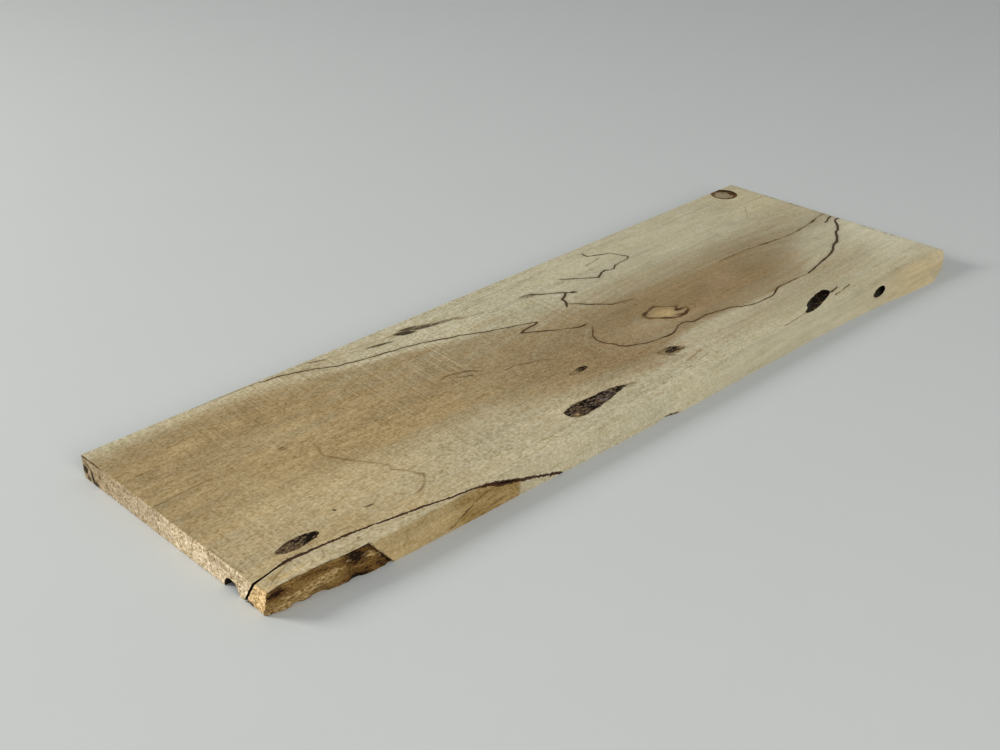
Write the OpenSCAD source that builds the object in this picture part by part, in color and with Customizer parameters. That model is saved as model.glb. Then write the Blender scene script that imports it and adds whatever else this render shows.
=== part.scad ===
// Spalted live-edge board: a sawn hardwood board with one natural edge, a punky
// wedge behind an open check, a patch of inner bark, galleries packed with frass
// and one loose knot in its ring of bark.
//
// Frame: +X runs along the grain to the sound end, +Y is the straight sawn edge,
// -Y is the live edge and +Z is the planed face. The origin is the middle of the
// underside. Places on the board are given as [s, t]: s along the grain from the
// punky end, t across the board from the sawn edge.

/* [Board] */
// Length along the grain
board_l = 508; // [500:1:540]
// Width from the sawn edge to the widest point of the live edge
board_w = 172; // [166:1:190]
// Thickness
board_t = 12.7; // [12:0.1:16]
// How far the middle of the live edge bellies out past its two arrises
edge_belly = 0.6; // [0:0.1:1.5]

/* [Check and bark] */
// Length of the stretch where the check gapes at the punky end
check_open_l = 19; // [5:1:40]
// Width of the check at the punky end
check_open_w = 1.6; // [0.2:0.1:3]
// Thickness of the inner bark left on the wedge
bark_t = 1.5; // [0.8:0.1:3]
// Length of the bark patch along the upper arris
bark_top_l = 51; // [20:1:80]
// Length of the bark patch along the lower arris
bark_bottom_l = 61; // [20:1:90]

/* [Knot] */
// Diameter of the loose knot with its ring of bark
knot_d = 18; // [12:0.5:24]
// Thickness of the ring of bark round the knot
knot_bark_t = 1.6; // [0.8:0.1:3]

/* [Galleries] */
// Bore of the gallery that opens near the punky end
near_gallery_d = 7; // [4:0.5:9]
// Bore of the gallery that opens at the middle
middle_gallery_d = 12; // [8:0.5:13]
// Bore of the gallery that opens near the sound end
far_gallery_d = 8; // [5:0.5:10]
// Bore of the pocket inside the long stain
inner_pocket_d = 8; // [4:0.5:9]
// Bore of the smallest pocket
small_pocket_d = 4.8; // [3:0.2:8]
// How far the frass has sunk in the gallery near the sound end
far_frass_drop = 1.8; // [0:0.1:2.5]
// Bore of the empty exit hole in the live edge
exit_hole_d = 4.6; // [2:0.2:6]
// Length of the empty exit hole
exit_hole_l = 45; // [15:1:60]
// Bore of the gallery that the underside cuts through at the punky end
groove_d = 10.6; // [6:0.2:12]

/* [Hidden] */
$fn = 64;
// How far a cutter reaches past the face it cuts
past = 1;
// Spare stock outside the live edge, before the edge is shaped
spare = 12;

pale_sapwood = [0.76, 0.70, 0.56];
golden_punk = [0.72, 0.57, 0.33];
dark_bark = [0.30, 0.20, 0.11];
packed_frass = [0.17, 0.13, 0.10];
knot_heart = [0.62, 0.51, 0.37];

// Live edge: [part of the length, inset of the upper arris, inset of the lower
// arris], both insets measured back from the widest line.
LIVE_EDGE = [
    [0, 23.5, 27.5],
    [0.02, 24.5, 25],
    [0.05, 23.5, 23.5],
    [0.075, 22, 21],
    [0.12, 21, 18.5],
    [0.2, 20.5, 17],
    [0.265, 19.5, 16],
    [0.325, 18.5, 15],
    [0.395, 17.5, 13.5],
    [0.45, 17, 12.5],
    [0.47, 16.5, 13.5],
    [0.49, 16, 11],
    [0.59, 15, 10],
    [0.69, 14, 9],
    [0.79, 13, 7.5],
    [0.85, 12, 5.5],
    [0.885, 11.5, 3.5],
    [0.925, 10.5, 1.2],
    [0.957, 9, 0],
    [1, 7, 6.5]
];

// Check: [s, inset of its line on the planed face, inset of its line on the
// underside]. Past s = 117 the upper line has left the board.
CHECK = [
    [0, 35, 42.5],
    [19, 37.5, 43.5],
    [50, 34, 40],
    [85, 27, 33],
    [110, 21.5, 26],
    [140, 14, 20.5],
    [164, 4, 15],
    [190, -5, 7]
];

// Galleries: [s, t, lean of the bore from the planed face, turn of the bore about
// the vertical, how far the bore runs on below the middle of its mouth].
NEAR_GALLERY = [30, 127.5, 18.5, 180, 13];
MIDDLE_GALLERY = [209, 136, 17, 180, 17];
FAR_GALLERY = [388.5, 149.5, 12, 14, 14];
INNER_POCKET = [279, 129, 27, -20, 6];
SMALL_POCKET = [226.5, 109, 22, 0, 6];

// Knot: [s, t]; its bark ring just breaks out through the sawn edge.
KNOT = [488.5, 8.2];

// Exit hole: [s, t, height above the underside, turn of the bore in from the edge],
// where its axis passes through the live edge.
EXIT_HOLE = [436.5, 163, 7.4, 20];

// Groove: [t, height of its axis at the punky end, how steeply it runs out].
GROOVE = [121, 0.9, 10];
groove_l = groove_d / 2 / sin(GROOVE[2]);

// Puts its children at a place [s, t] on the board.
module on_board(s, t, z = 0) {
    translate([s - board_l / 2, board_w / 2 - t, z]) children();
}

function inset_y(inset) = inset - board_w / 2;

// A surface that crosses the board is a list of stations [x, ys], with ys spaced
// evenly in height from the underside to the planed face.
function live_surface(shave) = [
    for (row = LIVE_EDGE)
        let (top = inset_y(row[1]) + shave, bottom = inset_y(row[2]) + shave)
        [(row[0] - 0.5) * board_l, [bottom, (top + bottom) / 2 - edge_belly, top]]
];

// The check; gape moves it outwards where it stands open.
function check_surface(gape) = [
    for (row = CHECK)
        let (open = gape * max(0, 1 - row[0] / check_open_l))
        [row[0] - board_l / 2, [inset_y(row[2]) - open, inset_y(row[1]) - open]]
];

// One station's column of points, run on past both faces of the board, and
// closed by two points out beyond the live edge.
function column(x, ys, rise = board_t) = let (
    top = len(ys) - 1,
    step = rise / top,
    outside = -board_w / 2 - 2 * spare
) concat(
    [[x, ys[0] + (ys[0] - ys[1]) * past / step, -past]],
    [for (k = [1 : 1 : top - 1]) [x, ys[k], k * step]],
    [[x, ys[top] + (ys[top] - ys[top - 1]) * past / step, rise + past]],
    [[x, outside, rise + past], [x, outside, -past]]
);

// Everything between a surface and the space outside the live edge.
module beyond(surface) {
    n = len(surface);
    ring = len(surface[0][1]) + 2;
    points = [
        for (i = [0 : n - 1])
            let (run_on = i == 0 ? -past : i == n - 1 ? past : 0)
            each column(surface[i][0] + run_on, surface[i][1])
    ];
    sides = [
        for (i = [0 : n - 2], k = [0 : ring - 1])
            let (a = ring * i + k, b = ring * i + (k + 1) % ring)
            each [[a, a + ring, b], [b, a + ring, b + ring]]
    ];
    near_cap = [for (k = [0 : ring - 1]) k];
    far_cap = [for (k = [ring - 1 : -1 : 0]) ring * (n - 1) + k];
    polyhedron(points, concat([near_cap, far_cap], sides));
}

// The whole board before anything is split off.
module waney_slab() {
    difference() {
        translate([-board_l / 2, -board_w / 2 - spare, 0])
            cube([board_l, board_w + spare, board_t]);
        beyond(live_surface(0));
    }
}

// The stretch of the live edge that still wears its bark, bark_t deep.
module bark_zone() {
    lean = atan((bark_bottom_l - bark_top_l) / board_t);
    intersection() {
        beyond(live_surface(bark_t));
        translate([-board_l / 2, -board_w / 2 - spare, board_t])
            rotate([0, -lean, 0])
                translate([-board_w, 0, -board_w])
                    cube([board_w + bark_top_l * cos(lean), board_w / 2, 2 * board_w]);
    }
}

// A round-ended bore that slopes down and away from its mouth in the planed face.
module gallery(place, d) {
    on_board(place[0], place[1], board_t)
        rotate([0, 0, place[3]])
            rotate([0, 90 + place[2], 0]) {
                mouth_l = d / tan(place[2]) + d;
                translate([0, 0, -mouth_l]) cylinder(h = mouth_l + place[4], d = d);
                translate([0, 0, place[4]]) sphere(d = d);
            }
}

// What packs a gallery, level with the planed face or sunk below it.
module packed(place, d, drop = 0) {
    intersection() {
        gallery(place, d);
        translate([-board_l / 2, -board_w / 2, 0])
            cube([board_l, board_w, board_t - drop]);
    }
}

module knot_hole(d, reach = 0) {
    on_board(KNOT[0], KNOT[1], -reach) cylinder(h = board_t + 2 * reach, d = d);
}

module exit_hole() {
    on_board(EXIT_HOLE[0], EXIT_HOLE[1], EXIT_HOLE[2])
        rotate([0, 0, EXIT_HOLE[3]])
            rotate([0, 90, 0])
                translate([0, 0, -spare]) cylinder(h = spare + exit_hole_l, d = exit_hole_d);
}

module groove() {
    on_board(-past, GROOVE[0], GROOVE[1])
        rotate([0, 90 + GROOVE[2], 0])
            cylinder(h = groove_l + past, d = groove_d);
}

module board() {
    color(pale_sapwood)
        difference() {
            waney_slab();
            beyond(check_surface(0));
            gallery(NEAR_GALLERY, near_gallery_d);
            gallery(MIDDLE_GALLERY, middle_gallery_d);
            gallery(FAR_GALLERY, far_gallery_d);
            gallery(INNER_POCKET, inner_pocket_d);
            gallery(SMALL_POCKET, small_pocket_d);
            knot_hole(knot_d, past);
            exit_hole();
            groove();
        }
}

module edge_wedge() {
    color(golden_punk)
        difference() {
            intersection() {
                waney_slab();
                beyond(check_surface(check_open_w));
            }
            bark_zone();
        }
}

module bark_patch() {
    color(dark_bark)
        intersection() {
            waney_slab();
            bark_zone();
        }
}

module near_frass() {
    color(packed_frass) packed(NEAR_GALLERY, near_gallery_d);
}

module middle_frass() {
    color(packed_frass) packed(MIDDLE_GALLERY, middle_gallery_d);
}

module far_frass() {
    color(packed_frass) packed(FAR_GALLERY, far_gallery_d, far_frass_drop);
}

module inner_pocket_frass() {
    color(packed_frass) packed(INNER_POCKET, inner_pocket_d);
}

module small_pocket_frass() {
    color(packed_frass) packed(SMALL_POCKET, small_pocket_d);
}

module loose_knot() {
    color(knot_heart) knot_hole(knot_d - 2 * knot_bark_t);
}

module knot_bark_ring() {
    color(dark_bark)
        difference() {
            intersection() {
                knot_hole(knot_d);
                translate([0, -board_w / 2, 0]) cube([board_l / 2, board_w, board_t]);
            }
            knot_hole(knot_d - 2 * knot_bark_t, past);
        }
}

board();
edge_wedge();
bark_patch();
near_frass();
middle_frass();
far_frass();
inner_pocket_frass();
small_pocket_frass();
loose_knot();
knot_bark_ring();
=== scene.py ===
import math
from types import SimpleNamespace

import bmesh
import bpy
import numpy as np
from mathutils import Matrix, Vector, kdtree, noise
from mathutils.bvhtree import BVHTree
from mathutils.geometry import delaunay_2d_cdt


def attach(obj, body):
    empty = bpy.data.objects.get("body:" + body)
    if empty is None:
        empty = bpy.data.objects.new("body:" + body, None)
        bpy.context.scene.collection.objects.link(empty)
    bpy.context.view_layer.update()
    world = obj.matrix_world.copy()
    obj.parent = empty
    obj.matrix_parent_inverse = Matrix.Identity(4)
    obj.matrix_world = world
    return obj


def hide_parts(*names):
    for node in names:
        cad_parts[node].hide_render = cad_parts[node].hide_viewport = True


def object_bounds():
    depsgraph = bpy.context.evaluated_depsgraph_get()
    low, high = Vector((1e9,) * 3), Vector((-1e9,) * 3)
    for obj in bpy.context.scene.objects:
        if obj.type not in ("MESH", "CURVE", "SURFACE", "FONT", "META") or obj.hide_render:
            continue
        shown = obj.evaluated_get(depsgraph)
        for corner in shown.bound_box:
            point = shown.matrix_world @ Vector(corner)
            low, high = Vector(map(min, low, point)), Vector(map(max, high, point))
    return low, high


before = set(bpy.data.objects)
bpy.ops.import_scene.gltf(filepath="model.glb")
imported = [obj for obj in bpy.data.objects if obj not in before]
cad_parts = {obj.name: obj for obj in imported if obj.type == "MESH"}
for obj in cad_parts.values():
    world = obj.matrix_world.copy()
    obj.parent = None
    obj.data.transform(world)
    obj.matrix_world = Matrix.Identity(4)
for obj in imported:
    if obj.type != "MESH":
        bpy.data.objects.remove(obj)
CAD_LOW, CAD_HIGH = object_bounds()

# The wood is described in its own measures, in millimetres: s runs along the grain
# from the punky end, t across the board from the sawn edge, and depth down from the
# planed face. METRE turns metres into millimetres.
METRE = 1000.0
LENGTH = (CAD_HIGH.x - CAD_LOW.x) * METRE
THICKNESS = (CAD_HIGH.z - CAD_LOW.z) * METRE
PLUGS = ["near_frass", "middle_frass", "far_frass", "inner_pocket_frass", "small_pocket_frass"]
EDGE_NODES = ["board", "edge_wedge", "bark_patch"]
rng = np.random.default_rng(seed=4)

# Sizes of the wear, in millimetres: how far each thing is worn, eaten or opened.
ARRIS_ROUND, ARRIS_UNEVEN = 0.42, 0.18
CHECK_GAP = 0.05
SOUND_EDGE_RELIEF, PUNKY_EDGE_RELIEF, BARK_RELIEF = 0.55, 0.9, 0.9
SOUND_END_RELIEF, PUNKY_END_RELIEF = 0.35, 1.1
# The meshes' spacings: along the marks, and at the most.
FINEST, COARSEST, UNDERSIDE_FINEST = 0.85, 4.0, 1.3
BARK_SPACING, KNOT_SPACING, FRASS_SPACING = 0.6, 0.5, 0.42

# ---------------------------------------------------------------- what the wood shows

# Zone lines and other drawn marks: half width in mm, ink from 0 to 1, points [s, t].
MARKS = [
    (0.3, 0.35, [(60, 0.4), (75, 0.6), (90, 1), (100, 1.5)]),
    (0.42, 0.75, [(100, 1.5), (104, 3), (110, 3), (115, 5), (120, 6.5), (125, 8.5), (130, 10.5),
                  (136, 14), (140, 16.5), (146, 17.5), (150, 19), (160, 21.5), (168, 22.5),
                  (172, 24), (178, 24.5), (182, 26), (190, 28), (195, 30), (200, 32), (206, 35),
                  (210, 36), (215, 38.5), (220, 41), (225, 43.5), (232, 46), (238, 48.5),
                  (245, 51), (250, 53), (252.5, 55)]),
    (0.5, 0.85, [(252.5, 55), (250, 55.5), (240, 56.2), (236, 57.5), (240, 60), (245, 63.5)]),
    (0.42, 0.6, [(245, 63.5), (250, 67), (255, 70), (260, 73), (265, 75.5), (270, 75.5)]),
    (0.3, 0.45, [(130, 2), (135, 4), (140, 6)]),
    (0.3, 0.3, [(155, 6), (168, 8.5), (183, 10)]),
    (0.3, 0.3, [(222, 20), (232, 23), (240, 24.5)]),
    (0.5, 1.0, [(276, 27), (280, 31), (287, 35), (291, 38), (297, 43.5)]),
    (0.6, 1.0, [(292, 39.5), (288, 42.5), (284, 44), (283, 48), (279, 52.5)]),
    (0.5, 0.95, [(281, 50), (286, 54.5), (290, 59.5), (295, 64), (300, 69.5)]),
    (0.4, 0.5, [(299, 69), (305, 70.5), (314, 73)]),
    (0.42, 0.7, [(303, 24), (308, 28), (312, 31), (316, 34), (320, 37), (322, 38.5)]),
    (0.6, 0.8, [(322, 38.5), (326, 37), (329, 35), (333, 34.5), (335, 36.5)]),
    (0.4, 0.6, [(335, 36.5), (339, 36.5), (343, 34), (350, 33), (357, 32.5), (359, 30.5),
                (357, 25), (355, 20), (350, 17.5), (345, 15), (341, 13.5)]),
    (0.5, 0.75, [(341, 13.5), (340.5, 11), (341.5, 8)]),
    (0.35, 0.4, [(329, 22), (337, 21), (345, 19.5)]),
    (0.42, 0.62, [(270, 80), (265, 85), (261.5, 88), (259.5, 93), (259.5, 97), (261, 100),
                  (263, 103), (263, 106), (266, 109), (270, 111), (276, 114), (282, 115.5),
                  (290, 116.5), (296, 117), (301, 115), (305, 113), (310, 112.5), (313, 113.5),
                  (315, 116), (327, 115.5), (333, 117), (340, 118.5), (346, 120), (350, 123),
                  (355, 125.5), (361, 127), (375, 127.5), (380, 126), (383, 124.5), (387, 123),
                  (403, 123.5), (417, 124.3)]),
    (0.6, 0.85, [(417, 124.3), (425, 123), (432, 121.5), (440, 120), (450, 118), (458, 115.5),
                 (463, 112.5), (467, 110.8)]),
    (0.8, 0.95, [(466, 111), (472, 109.5), (478, 106), (483, 102), (486, 100), (490, 99),
                 (494, 96), (498, 93), (501, 89.5)]),
    (0.55, 0.8, [(494, 86.5), (498, 86), (501, 84), (506, 83)]),
    (0.55, 0.7, [(501, 89.5), (505, 88), (508, 88.5)]),
    (0.6, 0.42, [(394, 75.5), (410, 76), (420, 76.5), (425, 77.5), (432, 78), (440, 79.5),
                 (450, 81), (460, 82), (470, 81.5), (480, 80.8), (490, 79.5), (498, 77.5),
                 (508, 77)]),
    (0.85, 0.5, [(300, 93), (302, 91), (306, 89.5), (311, 88.5), (314.5, 88), (316.5, 90),
                  (319, 92.5), (322, 95), (323.5, 97), (320, 100), (328, 101), (326, 104),
                  (321, 106), (315, 106.5), (311, 105), (308, 102), (304, 98.5), (301, 96),
                  (300, 93)]),
    (0.4, 0.65, [(322, 96), (326, 97)]),
    (0.35, 0.55, [(331, 100), (334, 102), (331, 105)]),
    (0.35, 0.45, [(227, 135), (232, 136.4), (238, 138.3)]),
    (0.35, 0.4, [(347, 155.5), (358, 155), (370, 154)]),
    (0.5, 0.7, [(404, 149), (413, 147.5)]),
    (0.35, 0.5, [(402, 153), (412, 152), (422, 150.5)]),
    (0.4, 0.45, [(273, 131), (277, 135)]),
    (0.35, 0.3, [(275, 142), (285, 141), (292, 139.5)]),
    (0.35, 0.25, [(280, 146), (291, 145)]),
    (0.2, 0.3, [(464, 46), (472, 39), (480, 32)]),
    (0.35, 0.3, [(0, 62), (14, 61), (30, 60.5)]),
    (0.25, 0.16, [(30, 60.5), (50, 58.5), (72, 55)]),
    (0.4, 0.26, [(1.2, 104), (0.8, 112), (1.2, 122), (1.5, 129)]),
    (0.5, 0.3, [(90, 37), (94, 32), (98, 28)]),
    (0.4, 0.3, [(20, 135.5), (17, 137), (12, 139), (8, 141), (5, 143)]),
    (0.35, 0.3, [(34, 139), (33, 141.5), (31, 144)]),
    (0.6, 0.2, [(21, 146.5), (27, 147.2), (32, 147.3), (36, 148.5)]),
    (0.5, 0.3, [(84, 71), (80, 80), (85, 90), (91, 99), (97, 109), (95, 112), (99, 117),
                 (103, 126), (100, 130), (95, 133.5), (90, 135.5)]),
    (0.35, 0.42, [(167, 66), (173, 65), (178, 66), (186, 69), (188, 72), (192, 74)]),
    (0.35, 0.42, [(176, 69.5), (180, 72), (184, 74)]),
    (0.35, 0.38, [(199, 82), (207, 81.5), (216, 86), (221, 87), (228, 93)]),
    (0.3, 0.22, [(199, 82), (200, 92), (205, 98), (211, 103), (218, 103)]),
]

# Smudges of dark stain: s, t, half length, half width, turn in degrees, ink.
SMUDGES = [
    (171.5, 13.5, 9, 1.3, 13, 0.75), (190, 12.2, 6.5, 2.1, 22, 1), (197, 10.8, 9, 2.4, 18, 0.75),
    (203, 13.5, 12, 2.4, 16, 0.75), (214, 16.5, 16, 1.8, 13, 0.62), (230, 20.5, 12, 1.4, 18, 0.35),
    (273, 27, 7, 2.4, 10, 0.6), (296, 42, 2, 1.1, 20, 1), (283, 130.5, 5.5, 2, 22, 0.75),
    (274.5, 126.5, 4, 2.2, 20, 0.8), (222, 109, 3.5, 1.2, 8, 0.5), (229, 109.5, 4.5, 1.5, 8, 0.75),
    (451, 46, 9, 4, 30, 0.3), (56, 119.5, 1.1, 0.6, 60, 0.9), (69, 127.5, 2.6, 0.8, 10, 0.7),
    (54.5, 104, 0.8, 0.5, 0, 0.6), (29, 114, 0.8, 0.5, 0, 0.6), (21.5, 82, 0.7, 0.5, 0, 0.6),
    (70.5, 62.5, 3, 2, 10, 0.6), (75, 61.5, 4, 1.2, -10, 0.4), (22, 138.5, 1.4, 0.8, 30, 0.5),
    (40, 143.8, 1, 0.7, 0, 0.55), (50.5, 142.8, 1.2, 0.8, 0, 0.6), (100, 57.5, 1, 0.7, 0, 0.5),
    (317, 104.5, 4, 1.6, 20, 0.55), (229, 136, 4, 1.3, 14, 0.9), (233, 138.6, 4, 1.6, 14, 0.45),
    (402, 148.5, 5, 1.4, -14, 0.5), (372, 153.5, 5, 1.4, -10, 0.5),
]

# The same on the sawn end, where t and depth stand in place of s and t, and on the natural edge,
# where s and depth do; there the last is a painted shadow along the edge's foot, where it meets the
# table.
END_SMUDGES = [
    (9, 9.5, 1.3, 5, -14, 1), (12, 12, 2, 2.4, 20, 0.9), (2.5, 7, 2.6, 2.2, 30, 1),
    (5, 11, 2, 2, -30, 0.7), (8, 0.4, 12, 0.5, 0, 0.95), (5, 3.5, 4, 0.9, 25, 0.75),
    (16, 5, 1.2, 3, 20, 0.6), (22, 8, 3, 1.4, 40, 0.4), (134, 12.6, 3, 1.6, 0, 0.9),
]
LIVE_SMUDGES_AND_SHADOW = [
    (66, 0.5, 9, 0.5, 0, 0.3), (6, 0.3, 10, 0.6, 0, 0.7), (243, 12.4, 5, 0.8, 0, 0.9),
]
# Zone lines that fan over the natural edge, as s and depth.
LIVE_LINES = [
    (0.3, 0.4, [(92, 11.2), (95, 11), (100, 8.5), (105, 6.5), (115, 3.5), (122, 2.5)]),
    (0.3, 0.36, [(115, 11), (120, 10), (127, 9)]),
    (0.25, 0.3, [(108, 12), (114, 8), (121, 5.5), (127, 5)]),
]

# The stained heart lies between these two lines [s, t, softness], on the planed face.
HEART_TOP = [(0, 8, 10), (75, 11, 9), (100, 12, 6), (125, 17, 4), (150, 23, 3), (175, 30, 3),
             (200, 37, 4), (235, 48, 5), (252, 55, 9), (300, 57, 17), (350, 60, 18),
             (400, 62, 20), (450, 66, 20), (508, 70, 16)]
HEART_FOOT = [(0, 116, 45), (50, 110, 40), (100, 106, 26), (150, 110, 20), (200, 122, 16),
              (250, 131, 13), (280, 127, 8), (300, 121, 5), (320, 117, 4), (350, 124, 3),
              (380, 126, 3), (415, 122, 4), (440, 112, 9), (470, 98, 12), (508, 85, 8)]

# Broad changes of tone: s, t, half length, half width, turn in degrees, amount.
DARKER = [
    (150, 72, 75, 26, 4, 0.3), (45, 28, 60, 12, 2, 0.3), (10, 40, 26, 22, 0, 0.2),
    (235, 100, 45, 26, 20, 0.3), (310, 84, 60, 15, 4, 0.4), (370, 98, 60, 20, -4, 0.34),
    (262, 122, 24, 10, 10, 0.28), (415, 70, 50, 9, 2, 0.2), (385, 134, 80, 10, -5, 0.3),
    (445, 132, 45, 16, -8, 0.24), (335, 50, 80, 8, 4, 0.3), (490, 60, 40, 14, 0, 0.14),
    (60, 134, 60, 8, 4, 0.2), (70, 12, 60, 8, 0, 0.22), (205, 112, 34, 12, 6, 0.15),
    (312, 97, 9, 6, 26, 0.45), (45, 135, 50, 9, 4, 0.25), (8, 90, 18, 40, 0, 0.2),
    (140, 8, 30, 7, 4, 0.25), (262, 168, 36, 6, 0, 0.14), (484, 54, 26, 9, -2, 0.24),
    (408, 98, 34, 12, -4, 0.12), (72, 78, 75, 65, 0, 0.28), (92, 40, 34, 9, 0, 0.16),
    (112, 88, 16, 8, 0, 0.14), (238, 37, 22, 7, 14, 0.4), (266, 53, 16, 7, 20, 0.25),
    (324, 118, 20, 6, 4, 0.3), (265, 135, 14, 6, 0, 0.24),
]
LIGHTER = [
    (80, 56, 26, 12, 8, 0.3), (60, 104, 50, 10, 4, 0.2), (95, 98, 30, 10, 4, 0.16),
    (160, 108, 34, 9, 6, 0.14), (462, 98, 34, 11, -24, 0.55), (290, 100, 16, 7, 10, 0.2),
    (30, 92, 30, 14, 0, 0.12), (250, 152, 90, 10, 2, 0.16), (28, 150, 40, 10, 4, 0.34),
    (240, 20, 60, 16, 8, 0.16), (492, 120, 18, 36, 0, 0.12), (196, 80, 42, 14, 0, 0.14),
    (428, 104, 18, 10, -10, 0.16),
]
SCRATCHED = [(138, 55, 10, 24, 0, 0.9), (190, 56, 14, 26, 0, 0.9), (165, 60, 30, 40, 0, 0.35)]
BRIGHT = [(500, 132, 26, 30, 0, 0.22), (504, 100, 10, 18, 0, 0.14)]
PINKER = [(262, 108, 45, 26, 10, 0.6), (372, 95, 22, 9, 0, 0.8), (225, 140, 60, 10, 4, 0.4),
          (330, 136, 60, 8, 2, 0.6), (330, 112, 26, 8, 0, 0.4), (430, 112, 50, 10, -16, 0.7),
          (470, 120, 34, 16, 0, 0.35), (120, 60, 26, 16, 0, 0.4), (30, 34, 40, 14, 0, 0.3)]
GOLDEN = [(55, 85, 115, 85, 0, 1.0), (45, 136, 40, 10, 4, 0.5), (60, 152, 60, 12, 0, 0.5),
          (490, 20, 30, 34, 0, 0.45), (490, 164, 60, 12, 0, 0.6), (312, 97, 9, 6, 26, 1.5),
          (190, 130, 60, 22, 4, 0.25), (3, 155, 7, 20, 0, 1.2), (380, 140, 80, 14, -4, 0.25)]

# The bark patch: s, depth, half length, half height, turn in degrees, amount.
BARK_DARK = [(42, 1.2, 4, 2.2, 0, 0.8), (55, 8, 4, 4.5, -30, 0.3), (43, 12, 6, 1.6, 0, 0.7),
             (4, 2, 5, 2.5, 0, 1.1), (26, 1.5, 16, 1.6, 8, 0.35), (58, 3, 3, 3, 0, 0.4),
             (40, 8, 10, 4, 0, 0.08), (50, 2, 9, 1.2, 0, 0.35)]
BARK_GOLD = [(6, 7, 7, 4, 0, 0.4), (20, 7.6, 16, 2.4, -14, 1.3), (10, 11.5, 10, 1.2, 0, 0.5),
             (51, 4.5, 4, 2.6, 30, 0.7), (33, 8, 5, 2, -20, 0.3)]

# Where the wood leans over a gallery's mouth or stands back from it: s, t, radius, and how far
# the rim moves along s and t.
MOUTH_NUDGES = [
    (206, 130, 6, 0, 1.3), (214, 131, 6, 0, 2.0), (223, 132, 5, 0.5, 1.6), (222, 141, 6, 0, -1.8),
    (213, 142, 5, 0, -1.2), (194, 141.5, 6, -0.9, 1.7), (189, 134, 4, -1.2, -0.6),
    (274, 125, 4, 0.6, 1.3), (284, 134, 4, -0.4, -1.2), (276, 134.5, 3, 0, -0.7),
    (224, 106.5, 3, 0.4, 0.8), (231, 113, 3, 0, -0.8), (374, 150, 4, 0.8, 1.4),
    (392, 157, 5, 0, -0.6), (22, 127, 3, 0.3, 0.5),
]

# The frass: s, t, half length, half width, turn in degrees, amount.
PALE_FRASS = [(24, 129.5, 6, 4, -12, 0.4), (37, 128, 6, 5, 0, -0.5), (196, 137, 5, 4, 0, 0.35),
              (217, 135, 7, 4, 0, 0.3), (376, 153, 5, 3, -20, 0.5)]
WOODY_FRASS = [(271, 126, 3.5, 5, 0, 0.8), (279, 133.5, 8, 2.2, 20, 0.75),
               (288, 129.5, 2.5, 3, 0, 0.6), (223, 107, 3, 3, 0, 0.7), (228, 113, 6, 1.6, 8, 0.7),
               (374, 153.5, 4, 3, 0, 0.6), (276, 124.5, 5, 1.2, 10, 0.5)]
TAN_CHIPS = [(194, 137.3, 2.2, 1.1, 10, 0.9), (201, 133.5, 1, 0.6, 60, 0.6),
             (30, 128, 1, 0.6, 0, 0.5), (381, 152, 2.5, 0.7, -25, 0.6)]
LILAC_CHIPS = [(214, 137, 2, 0.9, 30, 0.9), (219, 135, 2.2, 0.8, -20, 0.8),
               (216, 139.3, 3, 0.8, 0, 0.7), (223, 137.5, 1.6, 0.7, 0, 0.7),
               (208, 135.5, 1.6, 0.6, 45, 0.6)]
# The holes in the frass, sunk into it and painted with shade.
VOIDS = [(398, 148.5, 9, 5.5, -20, 0.9), (203, 140.5, 5, 2, 0, 0.5), (225, 136, 3, 2, 0, 0.5)]
KNOT_HEART = (487, 8.5)
KNOT_DARK = [(492, 8, 4, 6, 0, 0.45)]
RING_DARK = [(496, 9, 6, 8, 0, 0.5), (488, 16, 6, 3, 0, 0.2)]
MOUTH_PLACES = [(30, 128, 16, 7, -12, 1.5), (208, 136, 28, 11, 0, 1.5),
                (390, 150, 22, 10, -15, 1.5), (279, 130, 13, 8, 15, 1.5),
                (228, 110, 10, 6, 8, 1.5)]

# How much lighter or darker the near end's cream is at t.
END_SHADES = [(0, -0.5), (12, -0.47), (22, -0.43), (40, -0.39), (62, -0.32), (80, -0.03),
              (100, -0.07), (128, 0.05), (172, 0.12)]

# The rings run round a pith below the planed face, which comes nearest to it at PITH_S and dips
# away from there.
PITH_S, PITH_T, PITH_DEPTH, PITH_DIP = 375, 97, 34, 0.00085

# ---------------------------------------------------------------- measuring the board


def wood_place(points):
    """s, t and depth in millimetres of points given in metres."""
    s = (points[:, 0] - CAD_LOW.x) * METRE
    t = (CAD_HIGH.y - points[:, 1]) * METRE
    depth = (CAD_HIGH.z - points[:, 2]) * METRE
    return s, t, depth


def smooth(low, high, value):
    """0 below low, 1 above high, and a smooth rise between."""
    part = np.clip((value - low) / (high - low), 0, 1)
    return part * part * (3 - 2 * part)


def rough(points, size, seed=0.0):
    """Noise from about -1 to 1 at points in metres; size is its scale along x, y and z in mm."""
    scaled = points * METRE / np.array(size, float) + seed
    return np.array([noise.noise(p) for p in scaled.tolist()])


def lumps(points, size, seed):
    """Like rough, but from about 0 to 1."""
    return 0.5 + 0.5 * rough(points, size, seed)


def mesh_tree(*nodes):
    """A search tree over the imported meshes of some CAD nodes."""
    points, faces = [], []
    for name in nodes:
        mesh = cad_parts[name].data
        start = len(points)
        points += [v.co.copy() for v in mesh.vertices]
        faces += [[start + i for i in p.vertices] for p in mesh.polygons]
    return BVHTree.FromPolygons(points, faces)


def distance_to(tree, points, most):
    """Distance in mm from each point to a tree's surface, at most `most`."""
    found = []
    for p in points.tolist():
        hit = tree.find_nearest(p, most / METRE)
        found.append(most if hit[0] is None else hit[3] * METRE)
    return np.array(found)


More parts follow.
